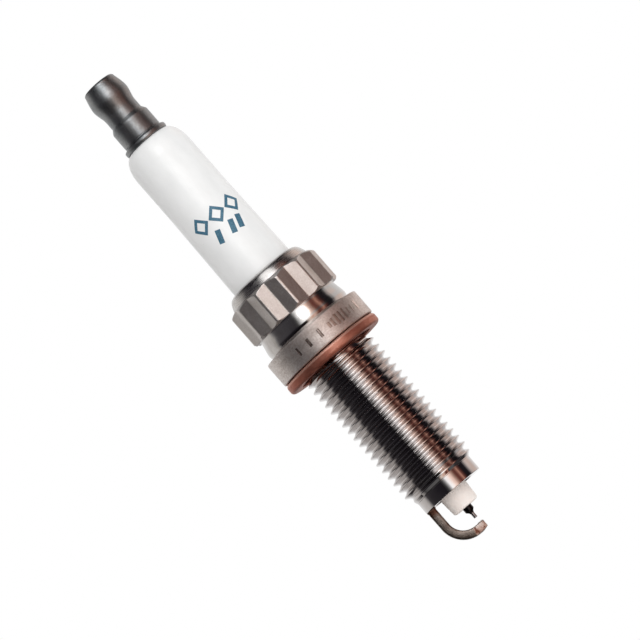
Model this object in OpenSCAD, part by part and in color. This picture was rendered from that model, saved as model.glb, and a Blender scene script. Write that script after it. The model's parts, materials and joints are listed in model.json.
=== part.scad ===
// Spark plug with an M12 x 1.25 thread, a long reach, a twelve-point hexagon and a solid terminal.
// The plug's axis is Z and the terminal points up. Z = 0 is the gasket's lower face, which seals
// on the cylinder head. The ground electrode's leg is on the -X side. Sizes are in millimetres.

/* [Thread] */
// Major diameter of the thread
thread_d = 11.95; // [11.7:0.05:12]
// Pitch of the thread
thread_pitch = 1.25; // [1:0.25:1.25]
// Distance from the gasket's lower face down to the shell's lower end
reach = 25.6; // [24:0.1:28]
// Length of the plain pilot below the thread
pilot_l = 2.25; // [1.5:0.25:3]
// Diameter of the plain pilot
pilot_d = 10.1; // [9.9:0.05:10.2]

/* [Shell] */
// Distance across the flats of the twelve-point hexagon
hex_af = 13.8; // [13.7:0.05:14]
// Diameter that the hexagon's twelve corners are turned to
hex_corner_d = 15.74; // [15.6:0.02:15.8]
// Height of the hexagon
hex_h = 5.8; // [5.2:0.1:7]
// Height of the thin-walled groove between the flange and the hexagon
groove_h = 3.15; // [2.6:0.05:3.6]
// Diameter of the flange
flange_d = 16.64; // [16.2:0.02:17]
// Height of the flange
flange_h = 3.9; // [3.6:0.05:4.6]
// Height of the crimped rim above the hexagon
crimp_h = 1.75; // [1.65:0.05:2.2]

/* [Gasket] */
// Height of the new, uncrushed gasket
gasket_h = 1.6; // [1.5:0.05:2.2]
// Outer diameter of the gasket
gasket_d = 16.64; // [16:0.02:17]
// Thickness of the gasket's folded sheet
gasket_sheet = 0.42; // [0.34:0.02:0.46]

/* [Insulator] */
// Height of the insulator's top above the gasket's lower face
insulator_top = 41.75; // [38:0.05:46]
// Diameter of the insulator's head where it enters the shell
head_d = 10.34; // [10.2:0.02:10.4]
// Diameter of the insulator's head below its rounded top, where the boot seals
boot_d = 9.94; // [9.7:0.02:10.1]
// Diameter of the bore that holds the terminal and the resistor
insulator_bore_d = 4.1; // [3.9:0.1:4.2]
// Distance that the insulator's nose stands out of the shell
nose_out = 2.95; // [2.5:0.05:3.5]
// Diameter of the nose's end
nose_d = 4.3; // [4:0.1:4.4]

/* [Terminal] */
// Diameter of the terminal's barrel
barrel_d = 6.26; // [6.1:0.02:6.4]
// Height of the terminal above the insulator
terminal_h = 11.1; // [10.5:0.05:12]
// Diameter of the stud's shank inside the insulator
shank_d = 3.6; // [3.2:0.1:3.8]

/* [Electrodes] */
// Diameter of the iridium tip
tip_d = 0.58; // [0.4:0.02:0.6]
// Length of the iridium tip that shows
tip_l = 0.85; // [0.6:0.05:1]
// Diameter of the centre electrode at the end of the nose
electrode_end_d = 1.44; // [1.4:0.02:1.5]
// Spark gap
gap = 0.8; // [0.6:0.05:1.1]
// Thickness of the ground electrode
ground_t = 1.35; // [1.1:0.05:1.4]
// Width of the ground electrode
ground_w = 2.3; // [2:0.1:2.4]

/* [Hidden] */
$fn = 96;
eps = 0.01;          // distance that a cutter stands past the face that it cuts
loose = 0.02;        // clearance between pieces that are assembled inside the insulator

// Thread
thread_r = thread_d / 2;
thread_depth = 0.6134 * thread_pitch;
root_r = thread_r - thread_depth;
undercut_r = root_r - 0.05;
crest_flat = thread_pitch / 8;
turn_steps = 36;     // steps in one turn of the thread's groove
phase = 0.84;        // turns that set where the groove starts round the shell

// Heights of the shell, from its lower end up
shell_end = -reach;
thread_bottom = shell_end + pilot_l;
thread_top = -0.25;
gasket_play = 0.12;  // room above the gasket, which turns freely before it is tightened
flange_bottom = gasket_h + gasket_play;
flange_top = flange_bottom + flange_h;
hex_bottom = flange_top + groove_h;
hex_top = hex_bottom + hex_h;
crimp_top = hex_top + crimp_h;

// Angle from +X to the hexagon's first corner
hex_turn = 8.4;
rim_r = 6.88;        // radius of the crimped rim where it leaves the hexagon

// Bores of the shell
pilot_r = pilot_d / 2;
nose_bore_r = 3.5;
ledge_r = 3.05;
body_bore_r = 3.85;
head_bore_r = 6;
ledge_z = shell_end + 8.6;   // height of the inner edge of the ledge's conical seat
step_z = flange_bottom + 1;  // height where the bore widens for the insulator's collar
step_h = head_bore_r - body_bore_r;

// Insulator
nose_r = nose_d / 2;
nose_end = shell_end - nose_out;
body_r = body_bore_r - 0.15;
collar_r = head_bore_r - 0.15;
collar_top = hex_bottom + 0.4;
head_r = head_d / 2;
boot_r = boot_d / 2;
boot_bottom = insulator_top - 11.85;
boot_top = insulator_top - 3.55;
packing_t = 0.25;            // thickness of the seat packing, across its cone
seat_lift = packing_t * sqrt(2);
bore_r = insulator_bore_d / 2;
fill_r = bore_r - loose / 2; // radius of what is fused into the insulator's bore
bore_bottom = shell_end + 12.9;
electrode_bore_r = 1.05;
end_bore_r = electrode_end_d / 2 + 0.04;
end_bore_l = 2.3;            // length of the narrow bore at the nose's end

// Packings above the insulator's collar
ring_gap = head_bore_r - head_r;
ring_wire_r = ring_gap / 2 - 0.015;
ring_r = (head_bore_r + head_r) / 2;
shoulder_top = collar_top + collar_r - head_r;
lower_ring_z = shoulder_top + ring_wire_r + 0.02;
upper_ring_z = hex_top - 0.55;

// What fills the insulator's bore
lower_seal_top = shell_end + 16.5;
resistor_top = lower_seal_top + 8;
upper_seal_top = resistor_top + 4;
shank_bottom = resistor_top + 1.2;

// Centre electrode
sheath_r = electrode_bore_r - 0.05;
sheath_end_r = electrode_end_d / 2;
electrode_head_top = bore_bottom + 1.3;
electrode_head_r = 1.2;
electrode_cone_end = nose_end - 1.2;
core_r = 0.45;
core_end = nose_end + 1;
tip_r = tip_d / 2;
tip_end = electrode_cone_end - tip_l;
tip_pocket = 0.6;

// Ground electrode
pad_top = tip_end - gap;
pad_r = 0.45;
pad_t = 0.22;
pad_proud = 0.06;
arm_top = pad_top - pad_proud;
arm_bottom = arm_top - ground_t;
leg_outer = 4.9;
bend_outer_r = 4;
bend_inner_r = bend_outer_r - ground_t;
bend_x = bend_outer_r - leg_outer;
bend_z = arm_bottom + bend_outer_r;
arm_end = 0.55;
taper_start = -1.5;
taper_end_w = 1.3;
end_cut = [0.9, 0.25];       // length and height of the slope under the arm's end

// Colours
nickel = [0.72, 0.69, 0.67];
nickel_alloy = [0.5, 0.46, 0.43];
dark_steel = [0.3, 0.29, 0.29];
copper = [0.76, 0.42, 0.33];
alumina = [0.95, 0.94, 0.93];

// Points of an arc in the profile plane, from angle a to angle b.
function arc(centre, r, a, b, steps = 8) =
    [for (i = [0:steps]) let (t = a + (b - a) * i / steps)
        [centre[0] + r * cos(t), centre[1] + r * sin(t)]];

// Points of a quarter ellipse, from its side at height z up to its top.
function dome(r_in, r_out, z, height, steps = 12) =
    [for (i = [0:steps]) let (t = 90 * i / steps)
        [r_in + (r_out - r_in) * cos(t), z + height * sin(t)]];

// Turns a profile of [radius, height] points round the plug's axis.
module turned(points) {
    rotate_extrude() polygon(points);
}

// A plain ring or disc between two heights.
module ring(r_in, r_out, z_low, z_high) {
    turned([[r_in, z_low], [r_out, z_low], [r_out, z_high], [r_in, z_high]]);
}

// ---------------------------------------------------------------- shell

// One cross-section of the thread's groove, t turns up from the thread's lower end.
function groove_section(t) =
    let (
        reach_r = thread_r + 0.08,
        crest_half = (thread_pitch - crest_flat) / 2,
        root_half = crest_half - thread_depth * tan(30),
        reach_half = root_half + (reach_r - root_r) * tan(30),
        z = thread_bottom + thread_pitch * (t - phase),
        a = 360 * t
    )
    [for (p = [[root_r, -root_half], [reach_r, -reach_half], [reach_r, reach_half],
               [root_r, root_half]])
        [p[0] * cos(a), p[0] * sin(a), z + p[1]]];

// The thread's groove: a right-hand helix that runs out into the undercut and past the pilot.
module thread_groove() {
    turns = (thread_top - thread_bottom) / thread_pitch + 1.5;
    steps = ceil(turns * turn_steps);
    corners = 4;
    points = [for (i = [0:steps]) each groove_section(i / turn_steps + 0.01)];
    sides = [for (i = [0:steps - 1], j = [0:corners - 1])
        let (
            a = corners * i + j,
            b = corners * i + (j + 1) % corners,
            c = b + corners,
            d = a + corners
        )
        each [[a, b, c], [a, c, d]]];
    last = corners * steps;
    ends = [[0, 3, 2], [0, 2, 1], [last, last + 1, last + 2], [last, last + 2, last + 3]];
    polyhedron(points = points, faces = concat(sides, ends));
}

// Outside of the shell without its hexagon: pilot, thread, flange, groove and crimped rim.
module shell_blank() {
    end_chamfer = 0.12;
    thread_chamfer = 0.65;
    run_out = 0.4;
    edge = 0.22;
    groove_low_r = 7.16;
    groove_high_r = 6.95;
    bulge_r = 7.22;
    turned(concat(
        [
            [0, shell_end],
            [pilot_r - end_chamfer, shell_end],
            [pilot_r, shell_end + end_chamfer],
            [pilot_r, thread_bottom],
            [thread_r, thread_bottom + thread_chamfer],
            [thread_r, thread_top - run_out],
            [undercut_r, thread_top],
            [undercut_r, flange_bottom]
        ],
        arc([flange_d / 2 - edge, flange_bottom + edge], edge, -90, 0, 3),
        arc([flange_d / 2 - edge, flange_top - edge], edge, 0, 90, 4),
        [
            [groove_low_r, flange_top],
            [bulge_r, flange_top + 0.25 * groove_h],
            [groove_low_r, flange_top + 0.5 * groove_h],
            [groove_high_r, flange_top + 0.8 * groove_h],
            [groove_high_r, hex_bottom + 0.3],
            [rim_r, hex_bottom + 0.5]
        ],
        // the rim leans in and then rounds over to the insulator
        [for (p = [[rim_r, 0], [6.66, 0.36], [6.45, 0.63], [6.22, 0.8], [5.9, 0.92]])
            [p[0], hex_top + crimp_h * p[1]]],
        [[head_r + 0.2, crimp_top], [0, crimp_top]]
    ));
}

// The twelve-point hexagon, with its corners turned round, chamfered below and rounded off above.
module hexagon() {
    corner_r = hex_corner_d / 2;
    point_r = hex_af / 2 / cos(30);
    low_chamfer = [0.3, 0.25];
    intersection() {
        union()
            for (turn = [0, 30])
                rotate(hex_turn + turn)
                    translate([0, 0, hex_bottom])
                        cylinder(r = point_r, h = hex_h, $fn = 6);
        turned([
            [0, hex_bottom],
            [corner_r - low_chamfer[0], hex_bottom],
            [corner_r, hex_bottom + low_chamfer[1]],
            [corner_r, hex_top - 0.66],
            [corner_r - 0.12, hex_top - 0.45],
            [corner_r - 0.37, hex_top - 0.3],
            [corner_r - 0.73, hex_top - 0.1],
            [rim_r, hex_top],
            [0, hex_top]
        ]);
    }
}

// Inside of the shell: gas pocket, ledge with its conical seat, body bore and head bore.
module shell_bore() {
    turned([
        [0, shell_end - eps],
        [nose_bore_r, shell_end - eps],
        [nose_bore_r, ledge_z - 1.05],
        [ledge_r, ledge_z - 0.6],
        [ledge_r, ledge_z],
        [body_bore_r, ledge_z + body_bore_r - ledge_r],
        [body_bore_r, step_z],
        [head_bore_r, step_z + step_h],
        [head_bore_r, hex_top - 0.2],
        [head_bore_r - 0.2, hex_top + 0.25],
        [head_r + 0.03, hex_top + 0.85],
        [head_r + 0.03, crimp_top + eps],
        [0, crimp_top + eps]
    ]);
}

// Plain strokes stamped in the flange: a group of even ones, then a group of long and short ones.
module flange_strokes() {
    middle = flange_bottom + flange_h / 2;
    for (i = [0:3])
        flange_stroke(-131 + 14.6 * i, middle, 1.4);
    for (i = [0:6])
        flange_stroke(-76 + 9 * i, middle, i % 2 == 0 ? 1.9 : 1);
}

// One stroke of the given height, at an angle round the flange.
module flange_stroke(turn, middle, height) {
    depth = 0.1;
    width = 0.34;
    rotate(turn)
        translate([flange_d / 2 - depth, -width / 2, middle - height / 2])
            cube([1, width, height]);
}

module shell() {
    color(nickel)
        difference() {
            union() {
                shell_blank();
                hexagon();
            }
            shell_bore();
            thread_groove();
            flange_strokes();
        }
}

// ---------------------------------------------------------------- gasket

// One folded sheet: flat lower layer, rounded wall, upper layer, and a lip folded between them.
module gasket() {
    outer_r = gasket_d / 2;
    inner_r = thread_r + 0.12;
    sheet = gasket_sheet;
    bend = 0.5;              // outer radius of the wall's two bends
    inner_bend = 0.25;
    lip_low = (gasket_h - sheet) / 2;
    lip_high = lip_low + sheet;
    lip_end = outer_r - 2.2 * sheet;
    upper = gasket_h - sheet;
    color(copper)
        turned(concat(
            [[inner_r + 0.35, 0]],
            arc([outer_r - bend, bend], bend, -90, 0, 6),
            arc([outer_r - bend, gasket_h - bend], bend, 0, 90, 6),
            arc([inner_r + inner_bend, gasket_h - inner_bend], inner_bend, 90, 180, 4),
            arc([inner_r + inner_bend, lip_low + inner_bend], inner_bend, 180, 270, 4),
            [
                [lip_end, lip_low],
                [lip_end, lip_high],
                [inner_r + sheet, lip_high],
                [inner_r + sheet, upper],
                [outer_r - sheet, upper],
                [outer_r - sheet, sheet],
                [inner_r + 0.35, sheet]
            ]
        ));
}

// ---------------------------------------------------------------- insulator

module insulator() {
    nose_edge = 0.45;
    top_edge = 0.15;
    seat_inner = ledge_r - 0.15;
    color(alumina)
        difference() {
            turned(concat(
                [[0, nose_end]],
                arc([nose_r - nose_edge, nose_end + nose_edge], nose_edge, -90, -10, 5),
                [
                    [nose_r + 0.2, shell_end],
                    [seat_inner - 0.1, ledge_z - 1],
                    [seat_inner, ledge_z + seat_inner - ledge_r + seat_lift],
                    [body_r, ledge_z + body_r - ledge_r + seat_lift],
                    [body_r, step_z + 0.3],
                    [collar_r, step_z + step_h + 0.3],
                    [collar_r, collar_top],
                    [head_r, shoulder_top],
                    [head_r, crimp_top + 1],
                    [boot_r, boot_bottom]
                ],
                dome(boot_r - 1.82, boot_r, boot_top, insulator_top - boot_top),
                [[0, insulator_top]]
            ));
            insulator_bore(top_edge);
        }
}

// Stepped bore of the insulator, from the terminal down to the nose's end.
module insulator_bore(top_edge) {
    end_z = nose_end + end_bore_l;
    turned([
        [0, nose_end - eps],
        [end_bore_r, nose_end - eps],
        [end_bore_r, end_z],
        [electrode_bore_r, end_z + electrode_bore_r - end_bore_r],
        [electrode_bore_r, bore_bottom - bore_r + electrode_bore_r],
        [bore_r, bore_bottom],
        [bore_r, insulator_top - top_edge],
        [bore_r + top_edge + eps, insulator_top + eps],
        [0, insulator_top + eps]
    ]);
}

// ---------------------------------------------------------------- terminal

// Solid terminal: barrel, neck, collar and flange on a long shank with a ribbed lower end.
module terminal_stud() {
    base = insulator_top;
    top = base + terminal_h;
    barrel_r = barrel_d / 2;
    collar = barrel_r + 0.05;
    neck = barrel_r - 0.41;
    flange = barrel_r + 0.57;
    shank_r = shank_d / 2;
    rib_r = bore_r - 0.1;
    rib_pitch = 1;
    ribs = 5;
    rib_start = shank_bottom + 0.4;
    bulge_r = 3.8;           // radius of the barrel's side, towards the top
    bulge_low = top - 2.9;
    bulge_high = top - 2.3;
    color(dark_steel)
        turned(concat(
            [[0, shank_bottom], [shank_r - 0.4, shank_bottom]],
            [for (i = [0:ribs - 1], corner = [[0, 0], [1, 0.2], [1, 0.5], [0, 0.7]])
                [corner[0] == 1 ? rib_r : shank_r - 0.2, rib_start + (i + corner[1]) * rib_pitch]],
            [
                [shank_r, rib_start + ribs * rib_pitch],
                [shank_r, base],
                [flange - 0.1, base],
                [flange, base + 0.12],
                [flange, base + 0.65],
                [flange - 0.12, base + 0.86],
                [collar, base + 1.05],
                [collar, base + 3.8],
                [collar - 0.1, base + 3.98],
                [neck, base + 4.6],
                [neck, base + 5.85],
                [neck + 0.07, base + 6.25],
                [barrel_r - 0.1, base + 7.45],
                [barrel_r, bulge_low]
            ],
            arc([barrel_r - bulge_r, bulge_high], bulge_r, 0, 22, 6),
            arc([2.05, top - 0.75], 0.75, 35, 90, 5),
            [[0, top]]
        ));
}

// ---------------------------------------------------------------- seals and resistor

module upper_glass_seal() {
    color([0.42, 0.3, 0.24])
        difference() {
            ring(0, fill_r, resistor_top + loose, upper_seal_top);
            translate([0, 0, shank_bottom - loose])
                cylinder(r = bore_r - 0.08, h = 10);
        }
}

module resistor() {
    color([0.16, 0.16, 0.17])
        ring(0, fill_r, lower_seal_top + loose, resistor_top);
}

module lower_glass_seal() {
    color([0.42, 0.3, 0.24])
        difference() {
            ring(0, fill_r, bore_bottom + 0.3 + loose, lower_seal_top);
            translate([0, 0, bore_bottom])
                cylinder(r = electrode_head_r + loose, h = electrode_head_top - bore_bottom + loose);
        }
}

// ---------------------------------------------------------------- centre electrode

module center_electrode_sheath() {
    flange_r = bore_r - 0.1;
    end_z = nose_end + end_bore_l;
    color(nickel_alloy)
        difference() {
            turned([
                [0, electrode_cone_end],
                [tip_r + 0.06, electrode_cone_end],
                [sheath_end_r, nose_end - 0.6],
                [sheath_end_r, end_z + 0.03],
                [sheath_r, end_z + 0.03 + sheath_r - sheath_end_r],
                [sheath_r, bore_bottom + loose - flange_r + sheath_r],
                [flange_r, bore_bottom + loose],
                [flange_r, bore_bottom + 0.3],
                [electrode_head_r, bore_bottom + 0.3],
                [electrode_head_r, electrode_head_top],
                [0, electrode_head_top]
            ]);
            translate([0, 0, core_end - core_r])
                cylinder(r = core_r, h = electrode_head_top - core_end + core_r + eps);
            translate([0, 0, electrode_cone_end - eps])
                cylinder(r = tip_r + 0.005, h = tip_pocket + eps);
        }
}

// Copper core, pressed into the sheath, with a round lower end.
module center_electrode_core() {
    core = core_r - 0.005;
    color(copper)
        turned(concat(
            arc([0, core_end + loose], core, -90, 0, 6),
            [[core, electrode_head_top], [0, electrode_head_top]]
        ));
}

module iridium_tip() {
    color([0.55, 0.55, 0.57])
        turned([
            [0, tip_end],
            [tip_r - 0.03, tip_end],
            [tip_r, tip_end + 0.03],
            [tip_r, electrode_cone_end + tip_pocket - loose],
            [0, electrode_cone_end + tip_pocket - loose]
        ]);
}

// ---------------------------------------------------------------- ground electrode

// Side outline of the bent strip: leg, bend and arm.
module ground_outline() {
    translate([-leg_outer, bend_z]) square([ground_t, shell_end - bend_z]);
    polygon([
        [bend_x, arm_bottom],
        [arm_end - end_cut[0], arm_bottom],
        [arm_end, arm_bottom + end_cut[1]],
        [arm_end, arm_top],
        [bend_x, arm_top]
    ]);
    translate([bend_x, bend_z])
        intersection() {
            difference() {
                circle(r = bend_outer_r);
                circle(r = bend_inner_r);
            }
            translate([-bend_outer_r, -bend_outer_r]) square(bend_outer_r);
        }
}

// Outline from below, with the arm's end cut narrower on both sides.
module ground_plan() {
    polygon([
        [-leg_outer - 1, -ground_w / 2],
        [taper_start, -ground_w / 2],
        [arm_end, -taper_end_w / 2],
        [arm_end, taper_end_w / 2],
        [taper_start, ground_w / 2],
        [-leg_outer - 1, ground_w / 2]
    ]);
}

module ground_electrode() {
    color(nickel_alloy)
        difference() {
            intersection() {
                rotate([90, 0, 0])
                    translate([0, 0, -ground_w])
                        linear_extrude(height = 2 * ground_w) ground_outline();
                translate([0, 0, arm_bottom - 1])
                    linear_extrude(height = shell_end - arm_bottom + 2) ground_plan();
            }
            translate([0, 0, pad_top - pad_t])
                cylinder(r = pad_r + 0.005, h = 1);
        }
}

// Platinum pad, let into the arm below the iridium tip.
module ground_electrode_pad() {
    color([0.8, 0.79, 0.78])
        translate([0, 0, pad_top - pad_t + 0.005])
            cylinder(r = pad_r, h = pad_t - 0.005);
}

// ---------------------------------------------------------------- packings

// Round wire ring between the insulator's head and the shell.
module wire_ring(z) {
    rotate_extrude() translate([ring_r, z]) circle(r = ring_wire_r);
}

module upper_ring_packing() {
    color(nickel) wire_ring(upper_ring_z);
}

module lower_ring_packing() {
    color(nickel) wire_ring(lower_ring_z);
}

// Pressed talc between the two wire rings.
module talc_filling() {
    color([0.83, 0.82, 0.78])
        difference() {
            ring(head_r + loose, head_bore_r - loose, lower_ring_z, upper_ring_z);
            for (z = [lower_ring_z, upper_ring_z])
                rotate_extrude() translate([ring_r, z]) circle(r = ring_wire_r + loose);
        }
}

// Conical washer between the ledge's seat and the insulator.
module seat_packing() {
    inner = ledge_r + 0.05;
    outer = body_r - 0.05;
    base = ledge_z - ledge_r + 0.005;
    rise = seat_lift - 0.01;
    color(dark_steel)
        turned([
            [inner, base + inner],
            [outer, base + outer],
            [outer, base + outer + rise],
            [inner, base + inner + rise]
        ]);
}

shell();
gasket();
insulator();
terminal_stud();
upper_glass_seal();
resistor();
lower_glass_seal();
center_electrode_sheath();
center_electrode_core();
iridium_tip();
ground_electrode();
ground_electrode_pad();
upper_ring_packing();
talc_filling();
lower_ring_packing();
seat_packing();
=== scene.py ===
"""Looks of the spark plug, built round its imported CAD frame.

Lengths are in millimetres here, and a mesh is written in metres. The plug's axis is Z, the terminal is up
and Z = 0 is the gasket's lower face. Angles round the axis are in degrees from +X towards +Y, so the side
that faces the camera is at -90.
"""

import json
import math

import bpy
import numpy as np
from mathutils import Matrix, Vector


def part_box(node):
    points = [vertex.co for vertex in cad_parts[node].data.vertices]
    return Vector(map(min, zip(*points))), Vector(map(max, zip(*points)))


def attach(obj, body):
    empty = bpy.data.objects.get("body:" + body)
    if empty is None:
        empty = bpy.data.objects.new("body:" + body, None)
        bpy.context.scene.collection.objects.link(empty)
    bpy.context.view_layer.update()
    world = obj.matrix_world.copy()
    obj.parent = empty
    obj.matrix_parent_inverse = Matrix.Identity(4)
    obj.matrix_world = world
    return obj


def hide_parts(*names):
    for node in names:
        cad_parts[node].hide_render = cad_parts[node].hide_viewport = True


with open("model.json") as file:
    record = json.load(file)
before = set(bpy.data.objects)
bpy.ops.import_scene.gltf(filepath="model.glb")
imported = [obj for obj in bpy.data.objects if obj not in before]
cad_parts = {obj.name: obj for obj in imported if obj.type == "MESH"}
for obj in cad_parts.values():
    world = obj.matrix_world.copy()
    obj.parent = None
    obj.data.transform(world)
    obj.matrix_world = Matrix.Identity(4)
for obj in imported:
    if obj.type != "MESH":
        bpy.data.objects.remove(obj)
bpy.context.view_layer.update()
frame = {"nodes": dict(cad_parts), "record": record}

MM = 0.001
PLUG = "plug"
GASKET_RING = "gasket_ring"


# ---- sizes from the frame

def node_box(node):
    """Lowest and highest corner of a CAD node, in millimetres."""
    low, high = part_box(node)
    return low / MM, high / MM


def mount_radius(name):
    """Radius of a round mount, in millimetres."""
    return next(m["dims"]["r_mm"] for m in frame["record"]["mounts"] if m["name"] == name)


shell_low, shell_high = node_box("shell")
insulator_low, insulator_high = node_box("insulator")
terminal_low, terminal_high = node_box("terminal_stud")
sheath_low, sheath_high = node_box("center_electrode_sheath")
core_low, core_high = node_box("center_electrode_core")
tip_low, tip_high = node_box("iridium_tip")
ground_low, ground_high = node_box("ground_electrode")
pad_low, pad_high = node_box("ground_electrode_pad")
gasket_high = node_box("gasket")[1]
resistor_r = node_box("resistor")[1].x
talc_r = node_box("talc_filling")[1].x
seal_bottom = node_box("lower_glass_seal")[0].z

SHELL_END = shell_low.z
RIM_TOP = shell_high.z
FLANGE_R = shell_high.x
GASKET_H = gasket_high.z
GASKET_R = gasket_high.x
PILOT_R = mount_radius("thread_pilot")
BOOT_R = mount_radius("insulator_boot")
BARREL_R = mount_radius("terminal_barrel")
NOSE_END = insulator_low.z
INSULATOR_TOP = insulator_high.z

# Heights along the shell, whose flange leaves the gasket a little play
FLANGE_BOTTOM = GASKET_H + 0.12
FLANGE_TOP = FLANGE_BOTTOM + 3.9
HEX_BOTTOM = FLANGE_TOP + 3.15
HEX_TOP = HEX_BOTTOM + 5.8

# Thread
PITCH = 1.25
CREST_R = 5.975
ROOT_R = CREST_R - 0.6134 * PITCH
NECK_R = ROOT_R - 0.05
THREAD_BOTTOM = SHELL_END + 2.25
THREAD_TOP = -0.25
# The helix starts in the pilot, at a height that puts its crests where the photograph shows them
HELIX_BOTTOM = SHELL_END + 0.2625
HELIX_TURNS = 20

# Bore: its narrow end below the ledge that carries the insulator, and its middle above the ledge
NOSE_BORE_R = 3.5
LEDGE_R = 3.05
LEDGE_Z = SHELL_END + 8.6
BODY_BORE_R = 3.85

# Hexagon
HEX_AF = 13.8
HEX_CORNER_R = 7.87
HEX_TURN = 8.4
RIM_R = 6.88

# Insulator above the rim: it narrows to the part that the boot grips, and ends in a dome
HEAD_R = 5.17
BOOT_BOTTOM = INSULATOR_TOP - 11.85
DOME_H = 3.55
DOME_IN = 1.82

# Thickness of the ground electrode's strip
STRIP_T = 1.35

# Edges sharper than this many degrees stay sharp under smooth shading
CREASE = 38


# ---- camera, lights and floor

# The photograph is taken with a long lens, from a little below the plug's middle, with the plug leaning.
CAMERA_DISTANCE = 800
FRAME_WIDTH = 92.55
VIEW_TILT = math.radians(-4.5)
ROLL = math.radians(41.19)
TARGET = Vector((1.81, 0, 5.72))
SENSOR = 36


def add_camera():
    """Camera on the -Y side, rolled so that the terminal points to the upper left."""
    back = Vector((0, -math.cos(VIEW_TILT), math.sin(VIEW_TILT)))
    across = Vector((1, 0, 0))
    upright = back.cross(across)
    right = across * math.cos(ROLL) - upright * math.sin(ROLL)
    up = back.cross(right)
    data = bpy.data.cameras.new("camera")
    data.sensor_width = SENSOR
    data.lens = SENSOR * CAMERA_DISTANCE / FRAME_WIDTH
    data.clip_start = 0.01
    camera = bpy.data.objects.new("camera", data)
    place = Matrix((right, up, back)).transposed().to_4x4()
    place.translation = (TARGET + back * CAMERA_DISTANCE) * MM
    camera.matrix_world = place
    bpy.context.scene.collection.objects.link(camera)
    bpy.context.scene.camera = camera


# What the studio shows in reflections, as (degrees from the camera's direction, growing towards +X; light)
SURROUND = [
    (-180, (0.95, 0.95, 0.95)), (-140, (0.8, 0.79, 0.78)), (-121, (0.7, 0.675, 0.65)),
    (-105, (0.62, 0.6, 0.585)), (-96, (0.52, 0.5, 0.47)), (-90, (0.26, 0.25, 0.25)),
    (-84, (0.085, 0.08, 0.085)), (-73, (0.055, 0.05, 0.056)), (-58, (0.046, 0.042, 0.048)),
    (-30, (0.027, 0.024, 0.03)), (-18, (0.022, 0.019, 0.024)), (-11, (0.05, 0.05, 0.05)),
    (-6, (0.3, 0.3, 0.3)), (-1, (0.9, 0.9, 0.9)), (4, (1.42, 1.42, 1.42)), (14, (1.46, 1.36, 1.31)),
    (21, (1.42, 1.13, 1.0)), (28, (1.06, 0.74, 0.62)), (36, (0.46, 0.28, 0.22)), (42, (0.21, 0.078, 0.058)),
    (48, (0.15, 0.048, 0.038)), (53, (0.3, 0.13, 0.095)), (58, (0.58, 0.29, 0.21)), (62, (0.23, 0.09, 0.068)),
    (68, (0.07, 0.025, 0.022)), (74, (0.014, 0.011, 0.013)), (88, (0.016, 0.013, 0.016)),
    (93, (0.12, 0.11, 0.11)), (98, (0.42, 0.37, 0.35)), (106, (0.74, 0.63, 0.58)), (122, (0.85, 0.68, 0.6)),
    (145, (0.86, 0.8, 0.77)), (180, (0.95, 0.95, 0.95)),
]
SURROUND_ANGLES = [angle for angle, _ in SURROUND]
SURROUND_CHANNELS = [[colour[i] for _, colour in SURROUND] for i in range(3)]
OVERHEAD = (0.014, 0.012, 0.016)
BELOW = (0.04, 0.036, 0.038)

# Stretches of azimuth. The white band widens to a patch high up.
WHITE_BAND = (-12, 27)
WHITE_PATCH = (-17, 33)
DARK_SIDE = (-86, -12)
LIFTED_SIDE = (-92, -10)
LIT_TABLE = (-12, 62)
REAR = 100
PATCH_ELEVATION, PATCH_LIGHT = 34, 1.5

# Curves through (azimuths or elevations, levels)
# How far the white band's left edge leans to the right, in degrees, and where it leans
LEAN = ([-50, -35, -20, 2, 5.5], [0, 0, 14, 4, -5])
LEAN_REACH = ([-36, -12, 6, 18], [0, 1, 1, 0])
# The warm stripes are pale just above the horizon
PALE = ([6.5, 8.5, 14, 20], [0, 0.8, 0.8, 0])
# The dark side is darkest low down and in the narrow strip that the thread reflects, and lighter high up
DARK_SHARE = ([-25, -8, 0, 1.5, 2.2, 2.9, 4.2, 5, 6], [0.2, 0.4, 0.7, 1, 1, 0.4, 0.4, 0.9, 1])
DARK_LIFT = ([7, 18, 40, 55], [0, 0.025, 0.025, 0])
# The white band takes the table's tint below the horizon
TABLE_TINT = (0.66, 0.56, 0.5)
TABLE_SHARE = ([-9, -1], [1, 0])
# What is straight below is dark under the two dark stretches, with a faint haze
SHADE_BELOW = ([-100, -84, -14, -2, 60, 70, 90, 100], [1, 0.15, 0.15, 1, 1, 0.15, 0.15, 1])
HAZE = ([-88, -80, -46, -38], [0, 0.14, 0.14, 0])
# A lit part of the table right behind the plug, across and upwards
REAR_TABLE = (0.75, 0.75 * 0.93, 0.75 * 0.9)
REAR_TABLE_ACROSS = ([12, 24], [1, 0])
REAR_TABLE_UP = ([-84, -78, -50, -42], [0, 1, 1, 0])
# Degrees off the horizon between which the surround gives way to what is overhead or below
FADE, FADE_LOW_REAR, FADE_HIGH_WHITE, FADE_LOW_TABLE = (30, 52), (16, 34), (66, 80), (78, 110)
# Round glow of the key light
KEY_AZIMUTH, KEY_ELEVATION, KEY_LIGHT = 12, 28, ([7, 15], [2.6, 0])


def level_at(curve, place):
    """Level of a curve, given as (places, levels), at a place."""
    return float(np.interp(place, *curve))


def blend(colour, other, share):
    """Colour that is a share of the way to another."""
    return [value + (end - value) * share for value, end in zip(colour, other)]


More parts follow.
